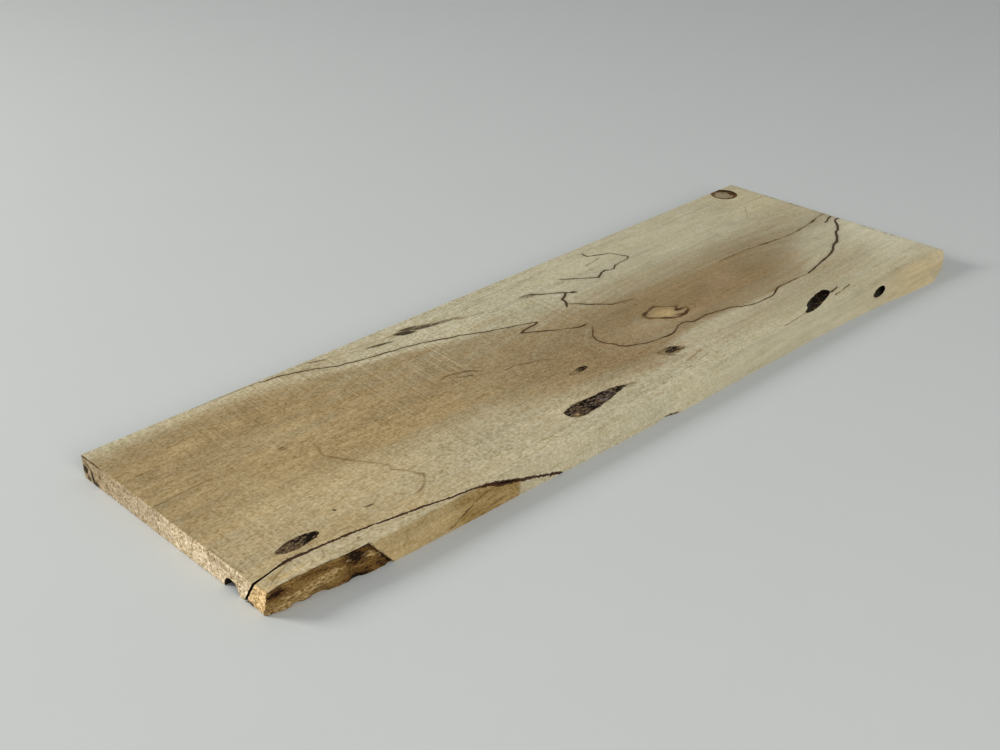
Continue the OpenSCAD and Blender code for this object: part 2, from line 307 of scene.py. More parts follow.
def read_live_edge():
    """Where the natural edge stands: y at each x, on the underside, half way up and on top."""
    tree = mesh_tree(*EDGE_NODES)
    first, step, skin, away = 0.0002, 0.001, 0.0001, 0.1
    xs = np.arange(CAD_LOW.x + first, CAD_HIGH.x, step)
    rows = []
    for z in (CAD_LOW.z + skin, (CAD_LOW.z + CAD_HIGH.z) / 2, CAD_HIGH.z - skin):
        hits = [tree.ray_cast((x, CAD_LOW.y - away, z), (0, 1, 0))[0] for x in xs.tolist()]
        rows.append(np.array([hit.y for hit in hits]))
    bottom, middle, top = rows
    # The exit hole swallows a few rays half way up, so those take the usual belly.
    belly = np.median((bottom + top) / 2 - middle)
    middle = np.where(middle > (bottom + top) / 2, (bottom + top) / 2 - belly, middle)
    return xs, np.array([bottom, middle, top])


LIVE_XS, LIVE_YS = read_live_edge()


def live_y(points):
    """The natural edge's y at each point's x and z."""
    rows = [np.interp(points[:, 0], LIVE_XS, ys) for ys in LIVE_YS]
    height = np.clip((points[:, 2] - CAD_LOW.z) / (CAD_HIGH.z - CAD_LOW.z), 0, 1) * 2
    lower = rows[0] + (rows[1] - rows[0]) * height
    upper = rows[1] + (rows[2] - rows[1]) * (height - 1)
    return np.where(height < 1, lower, upper)


def live_inward(points):
    """Unit vectors into the wood, square to the natural edge, and the distance to it in mm."""
    step = 0.001
    along = (live_y(points + [step, 0, 0]) - live_y(points - [step, 0, 0])) / (2 * step)
    low, high = points.copy(), points.copy()
    low[:, 2], high[:, 2] = CAD_LOW.z, CAD_HIGH.z
    rise = (live_y(high) - live_y(low)) / (CAD_HIGH.z - CAD_LOW.z)
    inward = np.stack([-along, np.ones(len(points)), -rise], 1)
    length = np.linalg.norm(inward, axis=1)
    return inward / length[:, None], (points[:, 1] - live_y(points)) / length * METRE


# ---------------------------------------------------------------- finely divided copies


def joined_mesh(node):
    """A bmesh of a CAD node with its split corners joined."""
    bm = bmesh.new()
    bm.from_mesh(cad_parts[node].data)
    bmesh.ops.remove_doubles(bm, verts=bm.verts, dist=1e-6)
    bm.verts.index_update()
    bm.normal_update()
    return bm


def flat_regions(bm):
    """Groups of touching faces that lie in one plane."""
    same_way, same_plane = math.cos(math.radians(0.25)), 2e-6
    regions, seen = [], set()
    for face in bm.faces:
        if face in seen:
            continue
        seen.add(face)
        group, queue, middle = [face], [face], face.calc_center_median()
        while queue:
            for edge in queue.pop().edges:
                for other in edge.link_faces:
                    off = (other.calc_center_median() - middle).dot(face.normal)
                    if other in seen or other.normal.dot(face.normal) < same_way:
                        continue
                    if abs(off) > same_plane:
                        continue
                    seen.add(other)
                    group.append(other)
                    queue.append(other)
        regions.append(group)
    return regions


# The flat outer faces: name, axis, the corner of the CAD box that it passes through, outward sign.
FLAT_SKINS = [
    ("top", 2, CAD_HIGH, 1), ("underside", 2, CAD_LOW, -1), ("near_end", 0, CAD_LOW, -1),
    ("far_end", 0, CAD_HIGH, 1), ("sawn_edge", 1, CAD_HIGH, 1),
]


def region_skin(group):
    """Which outer surface of the board a flat region belongs to, or None inside the wood."""
    normal = group[0].normal
    points = np.array([v.co for face in group for v in face.verts])
    flat_slack, live_slack = 1e-5, 0.0004
    for name, axis, corner, way in FLAT_SKINS:
        if normal[axis] * way > 0.99 and np.abs(points[:, axis] - corner[axis]).max() < flat_slack:
            return name
    if normal.y < -0.6 and np.abs(points[:, 1] - live_y(points)).max() < live_slack:
        return "live_edge"
    return None


def inside_outline(points, starts, ends):
    """Even-odd test of flat points against the segments of an outline."""
    inside = np.zeros(len(points), bool)
    at_once = 2000
    for chunk in range(0, len(points), at_once):
        p = points[chunk:chunk + at_once, None, :]
        spans = (starts[None, :, 1] > p[:, :, 1]) != (ends[None, :, 1] > p[:, :, 1])
        rise = np.where(ends[:, 1] == starts[:, 1], 1e-12, ends[:, 1] - starts[:, 1])
        cross = starts[:, 0] + (p[:, :, 1] - starts[:, 1]) * (ends[:, 0] - starts[:, 0]) / rise
        inside[chunk:chunk + at_once] = (spans & (p[:, :, 0] < cross)).sum(1) % 2 == 1
    return inside


def spread_points(low, high, plane, spacing):
    """Jittered points over a rectangle in a plane, as close together as spacing asks."""
    cell = 12.0
    jitter = 0.22
    columns, rows = (np.ceil((high - low) / cell)).astype(int)
    grid = np.stack(np.meshgrid(np.arange(columns), np.arange(rows)), -1).reshape(-1, 2)
    centres = low + (grid + 0.5) * cell
    kept = []
    while len(centres):
        done = spacing(plane.to_space(centres)) >= cell
        kept.append(centres[done] + rng.uniform(-jitter, jitter, (done.sum(), 2)) * cell)
        cell /= 2
        corners = np.array([[-1, -1], [1, -1], [-1, 1], [1, 1]]) * cell / 2
        centres = (centres[~done][:, None, :] + corners).reshape(-1, 2)
    return np.concatenate(kept)


def far_from(points, others, least):
    """Those points of a plane that keep at least `least` from all the others."""
    tree = kdtree.KDTree(len(others))
    for i, p in enumerate(others):
        tree.insert((p[0], p[1], 0), i)
    tree.balance()
    gaps = np.array([tree.find((p[0], p[1], 0))[2] for p in points])
    return points[gaps > least]


class Plane:
    """The plane of a flat region, with two axes of its own in millimetres."""

    def __init__(self, group):
        normal = group[0].normal
        across = Vector((1, 0, 0)) if abs(normal.x) < 0.9 else Vector((0, 1, 0))
        across = (across - normal * across.dot(normal)).normalized()
        self.axes = np.array([across, normal.cross(across)]).T
        self.origin = np.array(group[0].verts[0].co)

    def flat(self, space):
        return (np.array(space) - self.origin) @ self.axes * METRE

    def to_space(self, flat):
        return self.origin + flat @ self.axes.T / METRE


def halved(a, b, spacing):
    """Where to cut the edge from a to b, as shares of its length, by halving it again and again."""
    length = np.linalg.norm(b - a) * METRE
    shares = [0.0, 1.0]
    while True:
        spans = list(zip(shares, shares[1:]))
        middles = [(p + q) / 2 for p, q in spans]
        wanted = spacing(np.array([a + (b - a) * m for m in middles]))
        longest = wanted * 1.3 / length
        more = [m for m, most, (p, q) in zip(middles, longest, spans) if q - p > most]
        if not more:
            return shares
        shares = sorted(shares + more)


def cut_borders(bm, region_of, skins, points, spacing):
    """Each edge between two regions as a chain of point numbers, with the new points added."""
    cuts = {}
    for edge in bm.edges:
        regions = {region_of[face] for face in edge.link_faces}
        if len(regions) < 2:
            continue
        chain = [edge.verts[0].index]
        if any(skins[i] for i in regions):
            a, b = (np.array(v.co) for v in edge.verts)
            for share in halved(a, b, spacing)[1:-1]:
                points.append(Vector(a + (b - a) * share))
                chain.append(len(points) - 1)
        cuts[edge] = chain + [edge.verts[1].index]
    return cuts


def fill_points(rim, starts, ends, drawn, plane, spacing):
    """Points inside an outline: a row along it, so that an arris can be rounded, then the drawn
    points, and then a spread as close together as spacing asks."""
    row_inset, shortest_edge = 0.45, 0.25
    row_gap, drawn_gap, spread_gap, widest_gap = 0.4, 0.35, 0.55, 0.88
    middle, along = (starts + ends) / 2, ends - starts
    length = np.linalg.norm(along, axis=1)
    side = np.stack([-along[:, 1], along[:, 0]], 1) / np.maximum(length, 1e-9)[:, None]
    row = np.concatenate([middle + side * row_inset, middle - side * row_inset])
    row = row[np.tile(length, 2) > shortest_edge]
    row = row[inside_outline(row, starts, ends)]
    kept = np.concatenate([rim, far_from(row, rim, row_gap)])
    drawn = drawn[inside_outline(drawn, starts, ends)]
    kept = np.concatenate([kept, far_from(drawn, kept, drawn_gap)])
    spread = spread_points(rim.min(0), rim.max(0), plane, spacing)
    spread = spread[inside_outline(spread, starts, ends)]
    least = np.minimum(spread_gap * spacing(plane.to_space(spread)), widest_gap)
    kept = np.concatenate([kept, far_from(spread, kept, least)])
    return kept[len(rim):]


def inside_faces(faces, walls):
    """Which triangles that fill a plane lie inside an outline: each crossing of it is a flip."""
    sides = [[frozenset(side) for side in zip(face, face[1:] + face[:1])] for face in faces]
    users = {}
    for i, three in enumerate(sides):
        for side in three:
            users.setdefault(side, []).append(i)
    inside = {found[0]: side in walls for side, found in users.items() if len(found) == 1}
    queue = list(inside)
    while queue:
        i = queue.pop()
        for side in sides[i]:
            for j in users[side]:
                if j not in inside:
                    inside[j] = inside[i] ^ (side in walls)
                    queue.append(j)
    return np.array([inside[i] for i in range(len(faces))])


def filled_outline(points, links):
    """Triangles over all the flat points, inside the outline that some of them make."""
    merge = 1e-6
    _, edges, faces, sources, edge_sources, _ = delaunay_2d_cdt(
        [Vector(p) for p in points.tolist()], links, [], 0, merge, True)
    walls = {frozenset(edge) for edge, found in zip(edges, edge_sources) if len(found) % 2}
    good = inside_faces(faces, walls)
    # Points that coincide are merged, so each corner goes back to the point it came from.
    return np.array([[sources[corner][0] for corner in face] for face in faces])[good]


def divided_mesh(node, spacing, drawn_points=None):
    """The CAD node's closed surface cut into small triangles, spacing(points) mm apart on its
    skin, with corners at the points drawn on each skin as well. Returns the points in metres,
    the triangles and the name of each triangle's skin."""
    bm = joined_mesh(node)
    points = [v.co.copy() for v in bm.verts]
    regions = flat_regions(bm)
    region_of = {face: i for i, group in enumerate(regions) for face in group}
    skins = [region_skin(group) for group in regions]
    cuts = cut_borders(bm, region_of, skins, points, spacing)
    triangles, triangle_skins = [], []
    for group, skin in zip(regions, skins):
        chains = [cuts[edge] for face in group for edge in face.edges if edge in cuts]
        used = sorted({i for chain in chains for i in chain})
        local = {i: k for k, i in enumerate(used)}
        links = [(local[a], local[b]) for chain in chains for a, b in zip(chain, chain[1:])]
        plane = Plane(group)
        rim = plane.flat([points[i] for i in used])
        starts, ends = rim[[a for a, _ in links]], rim[[b for _, b in links]]
        extra = np.zeros((0, 2))
        if skin:
            drawn = plane.flat((drawn_points or {}).get(skin, np.zeros((0, 3))))
            extra = fill_points(rim, starts, ends, drawn, plane, spacing)
        number = np.array(used + list(range(len(points), len(points) + len(extra))))
        triangles.append(number[filled_outline(np.concatenate([rim, extra]), links)])
        triangle_skins += [skin or "inside"] * len(triangles[-1])
        points += [Vector(p) for p in plane.to_space(extra).tolist()]
    bm.free()
    return np.array([list(p) for p in points]), np.concatenate(triangles), np.array(triangle_skins)


def new_piece(name, points, triangles, node, marks, material, crease=40):
    """A closed mesh in the CAD frame that rides on the root body in a CAD node's place. Marks
    hold one value for each point, or one for each triangle."""
    mesh = bpy.data.meshes.new(name)
    points = np.clip(points, CAD_LOW, CAD_HIGH)
    mesh.from_pydata(points.tolist(), [], triangles.tolist())
    mesh.update()
    for mark, values in marks.items():
        domain = "POINT" if len(values) == len(points) else "FACE"
        layer = mesh.attributes.new(mark, "FLOAT", domain)
        layer.data.foreach_set("value", np.ascontiguousarray(values, dtype=np.float32))
    mesh.polygons.foreach_set("use_smooth", [True] * len(mesh.polygons))
    mesh.set_sharp_from_angle(angle=math.radians(crease))
    mesh.materials.append(material)
    piece = bpy.data.objects.new(name, mesh)
    bpy.context.scene.collection.objects.link(piece)
    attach(piece, "root")
    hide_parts(node)
    return piece


# ---------------------------------------------------------------- marks in the wood


def drawn_line(corners, step=0.25):
    """Points every step mm along a mark, with the small tremor of a real one."""
    corners = np.array(corners, float)
    lengths = np.linalg.norm(np.diff(corners, axis=0), axis=1)
    run = np.concatenate([[0], np.cumsum(lengths)])
    at = np.linspace(0, run[-1], max(2, int(run[-1] / step)))
    s, t = np.interp(at, run, corners[:, 0]), np.interp(at, run, corners[:, 1])
    start = corners[0].sum()
    tremor = [0.32 * noise.noise((start, a / 5, 0)) + 0.2 * noise.noise((start, a / 1.7, 9))
              for a in at.tolist()]
    return np.stack([s, t + np.array(tremor)], 1), at / run[-1]


class Marks:
    def __init__(self, lines):
        places, halves, inks = [], [], []
        for half, ink, corners in lines:
            line, share = drawn_line(corners)
            swell = np.array([noise.noise((p[0] / 9, p[1] / 9, 3)) for p in line.tolist()])
            fade = smooth(0, 0.06, share) * smooth(0, 0.06, 1 - share) * 0.35 + 0.65
            places.append(line)
            halves.append(half * (1 + 0.55 * swell))
            inks.append(np.clip(ink * (1 + 0.5 * swell) * fade, 0, 1))
        self.places = np.concatenate(places)
        self.halves = np.concatenate(halves)
        self.inks = np.concatenate(inks)
        self.tree = kdtree.KDTree(len(self.places))
        for i, (s, t) in enumerate(self.places.tolist()):
            self.tree.insert((s, t, 0), i)
        self.tree.balance()

    def nearest(self, s, t):
        """Distance in mm to the nearest mark, and which of its points that is."""
        found = [self.tree.find((a, b, 0)) for a, b in zip(s.tolist(), t.tolist())]
        return np.array([f[2] for f in found]), np.array([f[1] for f in found])


ZONE = Marks(MARKS)
FAN = Marks(LIVE_LINES)
# A zone line is the edge of a sheet that leans as it goes down through the board.
LEAN_S, LEAN_T = 0.35, -0.3


def sheet_place(points):
    """s and t on the planed face of the sheet that passes through each point."""
    s, t, depth = wood_place(points)
    return s + LEAN_S * depth, t + LEAN_T * depth


def spots(s, t, rows):
    """The sum of soft elliptical spots: s, t, half length, half width, turn, amount."""
    total = np.zeros(len(s))
    for s0, t0, half_l, half_w, turn, amount in rows:
        c, w = math.cos(math.radians(turn)), math.sin(math.radians(turn))
        along = ((s - s0) * c + (t - t0) * w) / half_l
        over = ((t - t0) * c - (s - s0) * w) / half_w
        total += amount * np.exp(-(along ** 2 + over ** 2))
    return total


def blots(s, t, rows):
    """The darkest of some soft spots at each point, each no darker than its own ink."""
    ink = np.zeros(len(s))
    for row in rows:
        ink = np.maximum(ink, np.minimum(spots(s, t, [row]) * 1.6, row[-1]))
    return ink


def heart_amount(s, t):
    """0 in pale sapwood, 1 in the stained heart."""
    top_s, top_t, top_soft = np.array(HEART_TOP, float).T
    foot_s, foot_t, foot_soft = np.array(HEART_FOOT, float).T
    soft = np.interp(s, top_s, top_soft)
    upper = (t - np.interp(s, top_s, top_t)) / soft
    lower = (np.interp(s, foot_s, foot_t) - t) / np.interp(s, foot_s, foot_soft)
    return smooth(-1, 1, upper) * smooth(-1, 1, lower)


def wood_marks(points, contact_mm, plug_mm, skins):
    """The values that the wood's material reads at each point and on each triangle of a piece."""
    s, t = sheet_place(points)
    wander = rough(points, (90, 16, 16)) * 3.5 + rough(points, (30, 5, 5), 31) * 1.5
    gap, nearest = ZONE.nearest(s, t)
    heart = heart_amount(s, t + wander) * 0.62
    heart += spots(s, t, DARKER) - spots(s, t, LIGHTER)
    plain_s, plain_t, depth = wood_place(points)
    pith = PITH_DEPTH + depth + PITH_DIP * (plain_s - PITH_S) ** 2
    rings = np.hypot(plain_t - PITH_T, pith) + rough(points, (90, 14, 14)) * 1.6
    _, live_mm = live_inward(points)
    live = 1 - smooth(0.0, 0.9, live_mm)
    at_end = 1 - smooth(0.0, 0.9, plain_s)
    smudge_and_shadow = blots(s, t, SMUDGES)
    smudge_and_shadow = np.maximum(smudge_and_shadow, blots(plain_t, depth, END_SMUDGES) * at_end)
    # The natural edge's smudges, and a painted shadow along its foot.
    smudge_and_shadow = np.maximum(smudge_and_shadow, blots(plain_s, depth, LIVE_SMUDGES_AND_SHADOW) * live)
    fan_gap, fan_nearest = FAN.nearest(plain_s, depth)
    fan_gap += 12 * (1 - live)
    fanned = fan_gap - FAN.halves[fan_nearest] < gap - ZONE.halves[nearest]
    gap = np.where(fanned, fan_gap - FAN.halves[fan_nearest], gap - ZONE.halves[nearest])
    ink = np.where(fanned, FAN.inks[fan_nearest], ZONE.inks[nearest])
    gold = spots(s, t, GOLDEN)
    gold += live * 0.6 * smooth(400, 500, plain_s)
    # The check's dark line, widest where it opens: partly a red-brown stain, partly painted shade
    # of the opening.
    burst = 0.5 * np.exp(-((plain_s - 127) / 6) ** 2) - 0.05 * smooth(128, 140, plain_s)
    burst += 0.12 * (1 - smooth(24, 36, plain_s)) + 0.25 * np.exp(-((plain_s - 22) / 7) ** 2)
    return {
        "line_gap": np.clip(gap, -1, 12),
        "line_ink": ink,
        "heart": np.clip(heart, 0, 1.2),
        "rings": rings,
        "smudge_and_shadow": smudge_and_shadow,
        "pink": np.clip(spots(s, t, PINKER), 0, 1),
        "gold": np.clip(gold, 0, 1.5),
        "live": live,
        "coarse": 1.2 - 0.65 * smooth(200, 380, plain_s) - 0.4 * live,
        "bright": spots(s, t, BRIGHT) + 0.1 * live * smooth(430, 500, plain_s),
        "scratched": np.clip(spots(s, t, SCRATCHED), 0, 1),
        "end_shade": np.interp(plain_t, *np.array(END_SHADES).T),
        "end_gold": 0.35 * smooth(60, 0, plain_t) + 0.25 * smooth(480, 500, plain_s),
        # Painted shade: the faces inside the wood are painted near black by the material.
        "inside": skins == "inside",
        "end_grain": (skins == "near_end") | (skins == "far_end"),
        "crack_mm": contact_mm - burst,
        "plug_mm": plug_mm,
    }


# ---------------------------------------------------------------- wear and weather


def rounded(points):
    """Points near the outer arrises moved in onto a worn, slightly uneven round."""
    radius = ARRIS_ROUND + ARRIS_UNEVEN * rough(points, (7, 7, 7), 5)
    live, live_mm = live_inward(points)
    s, t, depth = wood_place(points)
    faces = [
        ((0, 0, -1), depth),
        ((0, 0, 1), THICKNESS - depth),
        ((1, 0, 0), s),
        ((-1, 0, 0), LENGTH - s),
        ((0, -1, 0), t),
        (live, live_mm),
    ]
    push = np.zeros_like(points)
    for inward, gap in faces:
        push += np.clip(radius - gap, 0, None)[:, None] * np.array(inward, float)
    length = np.linalg.norm(push, axis=1)
    share = np.where(length > radius, 1 - radius / np.maximum(length, 1e-9), 0)
    return push * share[:, None] / METRE


def weathered_edge(points, depth_mm):
    """The natural edge's own relief: shallow waves and long ridges, all into the wood."""
    live, live_mm = live_inward(points)
    waves = lumps(points, (34, 34, 9), 2)
    ridges = lumps(points, (13, 13, 1.9), 7)
    grit = lumps(points, (2.2, 2.2, 1.1), 3)
    relief = (0.5 * waves + 0.35 * ridges + 0.15 * grit) * depth_mm
    return live * (relief * (1 - smooth(0, 5, live_mm)))[:, None] / METRE


def crumbled_end(points, depth_mm):
    """The punky end grain, eaten into pits and crumbs."""
    s, _, _ = wood_place(points)
    large = smooth(0.35, 0.8, lumps(points, (2.6, 2.6, 2.6), 11))
    small = smooth(0.4, 0.9, lumps(points, (0.9, 0.9, 0.9), 13))
    pits = 0.6 * large + 0.4 * small
    push = np.zeros_like(points)
    push[:, 0] = pits * depth_mm * (1 - smooth(0, 3, s)) / METRE
    return push


def moved_mouths(points):
    """The galleries' rims drawn in or let out, ragged, and only close under the planed face."""
    s, t, depth = wood_place(points)
    push = np.zeros_like(points)
    for s0, t0, radius, along, over in MOUTH_NUDGES:
        share = np.exp(-((s - s0) ** 2 + (t - t0) ** 2) / radius ** 2)
        push[:, 0] += share * along
        push[:, 1] -= share * over
    near = np.clip(spots(s, t, MOUTH_PLACES), 0, 1)
    push[:, 0] += near * 0.4 * rough(points * [1, 1, 0], (2.4, 2.4, 1), 81)
    push[:, 1] += near * 0.4 * rough(points * [1, 1, 0], (2.4, 2.4, 1), 83)
    return push * (1 - smooth(0, 3, depth))[:, None] / METRE


def parted(points, contact_mm, side):
    """The faces of the check: they follow the fibres and stand a little apart."""
    s, _, depth = wood_place(points)
    near = 1 - smooth(0, 3.5, contact_mm)
    torn = 0.25 + 0.75 * smooth(105, 125, s)
    wiggle = torn * rough(points * [1, 0, 1], (7, 1, 4), 21) * 0.9
    wiggle += (0.3 + torn) * rough(points * [1, 0, 1], (2, 1, 2), 23) * 0.15
    burst = np.exp(-((s - 129) / 6) ** 2) * (1 - smooth(3, 9, depth))
    opening = CHECK_GAP + burst * (0.2 + 0.8 * lumps(points, (1.4, 1.4, 1.4), 27))
    push = np.zeros_like(points)
    push[:, 1] = (wiggle * near + side * opening * (1 - smooth(0, 2, contact_mm))) / METRE
    return push


# ---------------------------------------------------------------- materials


# A Mix node's sockets for colours, which share their names with those for numbers.
MIX_A, MIX_B, MIX_RESULT = 6, 7, 2


class Value:
    """A socket in a material, so that sums and products of sockets are written as such."""

    def __init__(self, look, socket):
        self.look = look
        self.socket = socket

    def __add__(self, other):
        return self.look.math("ADD", self, other)

    def __sub__(self, other):
        return self.look.math("SUBTRACT", self, other)

    def __mul__(self, other):
        return self.look.math("MULTIPLY", self, other)

    def step(self, low, high, out_low=0.0, out_high=1.0):
        """A smooth rise from out_low to out_high as the value goes from low to high."""
        ends = {"From Min": low, "From Max": high, "To Min": out_low, "To Max": out_high}
        return self.look.add("ShaderNodeMapRange", {"Value": self, **ends},
                             interpolation_type="SMOOTHSTEP")


class Look:
    """A procedural material under construction."""

    def __init__(self, name):
        self.material = bpy.data.materials.new(name)
        self.material.use_nodes = True
        self.tree = self.material.node_tree
        self.tree.nodes.clear()
        self.place = self.add("ShaderNodeTexCoord", {}, "Object")

    def add(self, kind, inputs, output=0, **settings):
        """Adds a node, with values or numbers plugged in, and returns one of its outputs."""
        node = self.tree.nodes.new(kind)
        for key, value in settings.items():
            setattr(node, key, value)
        for key, value in inputs.items():
            if isinstance(value, Value):
                self.tree.links.new(value.socket, node.inputs[key])
            else:
                node.inputs[key].default_value = value
        return Value(self, node.outputs[output]) if len(node.outputs) else None

    def math(self, operation, a, b):
        return self.add("ShaderNodeMath", {0: a, 1: b}, operation=operation)

    def most(self, a, b):
        return self.math("MAXIMUM", a, b)

    def mark(self, name):
        return self.add("ShaderNodeAttribute", {}, "Fac", attribute_name=name)

    def scaled(self, vector, size):
        """A place in units of size, which is given along x, y and z in mm."""
        return self.add("ShaderNodeMapping",
                        {"Vector": vector, "Scale": [METRE / mm for mm in size]})

    def noise_at(self, vector, detail, roughness):
        """Noise around 0, from about -0.5 to 0.5."""
        inputs = {"Vector": vector, "Scale": 1.0, "Detail": detail, "Roughness": roughness}
        return self.add("ShaderNodeTexNoise", inputs) - 0.5

    def noise(self, size, detail=3.0, roughness=0.55, turn=0.0, tilt=0.0):
        """Noise of a size along x, y and z in mm; turn is the angle of its x axis to the grain,
        and tilt that of its y axis to the planed face."""
        turned = self.place
        if turn or tilt:
            angles = (math.radians(tilt), 0, math.radians(turn))
            turned = self.add("ShaderNodeMapping", {"Vector": turned, "Rotation": angles})
        return self.noise_at(self.scaled(turned, size), detail, roughness)

    def mix(self, share, a, b):
        """Colour a where share is 0 and colour b where it is 1."""
        a, b = (c if isinstance(c, Value) else (*c, 1) for c in (a, b))
        inputs = {"Factor": share, MIX_A: a, MIX_B: b}
        return self.add("ShaderNodeMix", inputs, MIX_RESULT, data_type="RGBA")

    def vector_math(self, operation, a, b):
        return self.add("ShaderNodeVectorMath", {0: a, 1: b}, operation=operation)

    def times(self, colour, amount):
        return self.add("ShaderNodeVectorMath", {0: colour, "Scale": amount}, operation="SCALE")

    def shade(self, colour, amount):
        """A colour made lighter or darker by an amount around 0."""
        return self.times(colour, amount + 1.0)

    def grained(self, colour, amount):
        """Like shade, but the darker grain is also warmer and the lighter grain cooler."""
        factor = self.vector_math("ADD", self.times(WARM_SHADE, amount), (1, 1, 1))
        factor = self.vector_math("MAXIMUM", factor, (DARKEST,) * 3)
        return self.vector_math("MULTIPLY", factor, colour)

    def finish(self, colour, roughness, height, relief_mm):
        """Plugs colour, roughness and bump into the shader; relief_mm is the bump's depth."""
        bump = self.add("ShaderNodeBump",
                        {"Height": height, "Strength": 1.0, "Distance": relief_mm / METRE})
        shader = self.add("ShaderNodeBsdfPrincipled",
                          {"Base Color": colour, "Roughness": roughness, "Normal": bump,
                           "Specular IOR Level": SHEEN})
        self.add("ShaderNodeOutputMaterial", {"Surface": shader})
        return self.material


# How much of a change of shade falls on red, green and blue, and the least that is left of each.
WARM_SHADE = (0.8, 0.95, 1.3)
DARKEST = 0.1
# Raw wood, bark and dust hardly shine.
SHEEN = 0.08
# The colours, as linear red, green and blue.
PALE_SAPWOOD = (0.525, 0.475, 0.322)
STAINED_HEART = (0.28, 0.198, 0.098)
WARM_PINK = (0.37, 0.24, 0.14)
GOLDEN_WOOD = (0.50, 0.36, 0.165)
END_CREAM = (0.74, 0.585, 0.38)
END_GOLD = (0.81, 0.56, 0.275)
PIT_BROWN = (0.2, 0.115, 0.045)
OCHRE_LINE = (0.2, 0.115, 0.035)
ZONE_BROWN = (0.055, 0.025, 0.007)
BURNT_BROWN = (0.014, 0.007, 0.002)
# The check's red-brown stain, which also stands for painted shade in its opening.
CHECK_STAIN_AND_SHADE = (0.04, 0.012, 0.005)
# Painted shade: the near black of hollows, inside the wood and in the frass.
HOLLOW_SHADE = (0.006, 0.004, 0.002)
BARK_TAN = (0.3, 0.185, 0.06)
BARK_BROWN = (0.12, 0.056, 0.014)
BARK_BLACK = (0.016, 0.007, 0.003)
TORN_GOLD = (0.41, 0.27, 0.11)
FRASS_BLACK = (0.01, 0.005, 0.002)
FRASS_BROWN = (0.2, 0.13, 0.062)
LILAC_GREY = (0.2, 0.155, 0.14)
DUSKY_GREY = (0.14, 0.1085, 0.098)
CHIP_TAN = (0.44, 0.29, 0.14)
KNOT_GREY = (0.31, 0.25, 0.155)
TABLE_GREY = (0.585, 0.6, 0.585)


def wood_grain(look):
    """The grain of sawn wood at each of its sizes, and what the saw left."""
    along = look.add("ShaderNodeSeparateXYZ", {0: look.place}) * 6.0
    ring_place = look.add("ShaderNodeCombineXYZ", {"X": along, "Y": look.mark("rings") * 0.42})
    saw = look.noise((0.8, 120, 120), 3, 0.7, turn=4)
    saw_patch = look.noise((60, 45, 45), 2).step(-0.1, 0.16, 0.2, 1.0)
    scratches = look.noise((1.2, 90, 90), 2, 0.6, turn=4).step(0.07, 0.15)
    return SimpleNamespace(
        bands=look.noise((160, 7, 7), 4),
        clouds=look.noise((38, 22, 22), 3),
        streaks=look.noise((45, 1.5, 1.5), 4, 0.6),
        mottle=look.noise((13, 5, 5), 3, 0.6),
        fibres=look.noise((7, 0.5, 0.5), 3, 0.6),
        crumbs=look.noise((1.7, 1.1, 1.1), 2, 0.6),
        pores=look.noise((2.6, 0.5, 0.5), 2).step(0.13, 0.22),
        pits=look.noise((3, 2.6, 1.5), 4, 0.8, tilt=35),
        rings=look.noise_at(ring_place, 3.0, 0.6),
        saw=saw * saw_patch + scratches * look.mark("scratched") * 0.75,
    )


def sawn_colour(look, grain):
    """Pale sapwood and stained heart, pink or golden in places."""
    fine = grain.mottle + grain.fibres + grain.streaks
    heart = look.mark("heart") + grain.bands + grain.rings + fine * 0.45
    colour = look.mix(heart.step(-0.15, 1.12), PALE_SAPWOOD, STAINED_HEART)
    pink = look.mark("pink") * (grain.clouds + grain.rings).step(-0.25, 0.35)
    colour = look.mix(pink * 0.42, colour, WARM_PINK)
    gold = look.mark("gold") * (grain.mottle + grain.clouds).step(-0.4, 0.4, 0.4, 0.6)
    return look.mix(gold, colour, GOLDEN_WOOD)


def with_end_grain(look, grain, colour):
    """End grain: cream, with pits in short slanting rows. Returns the pits' relief as well."""
    at_end, end_shade = look.mark("end_grain"), look.mark("end_shade")
    relief = grain.pits * end_shade.step(-0.5, 0.0, 0.55, 1.05)
    end_colour = look.mix(look.mark("end_gold"), END_CREAM, END_GOLD)
    end_colour = look.shade(end_colour, end_shade)
    end_colour = look.grained(end_colour, relief * -2.6 + grain.crumbs)
    colour = look.mix(at_end * 0.85, colour, end_colour)
    colour = look.mix(grain.pits.step(0.05, 0.15) * at_end * 0.8, colour, PIT_BROWN)
    return colour, relief * at_end


def with_grain(look, grain, colour):
    """The light and shade of the grain and of the saw's marks."""
    colour = look.shade(colour, grain.bands * 0.6 + grain.clouds * 0.3)
    coarse = look.mark("coarse")
    sawn = grain.fibres * coarse * 0.6 + grain.saw * coarse * 0.85
    sawn = sawn + grain.rings * 0.34 - grain.pores * 0.2
    off_end = look.mark("end_grain") * -1.0 + 1.0
    amount = look.mark("bright") + grain.streaks * 0.62 + grain.mottle * 0.5
    return look.grained(colour, amount + grain.crumbs * coarse * 1.3 + sawn * off_end)


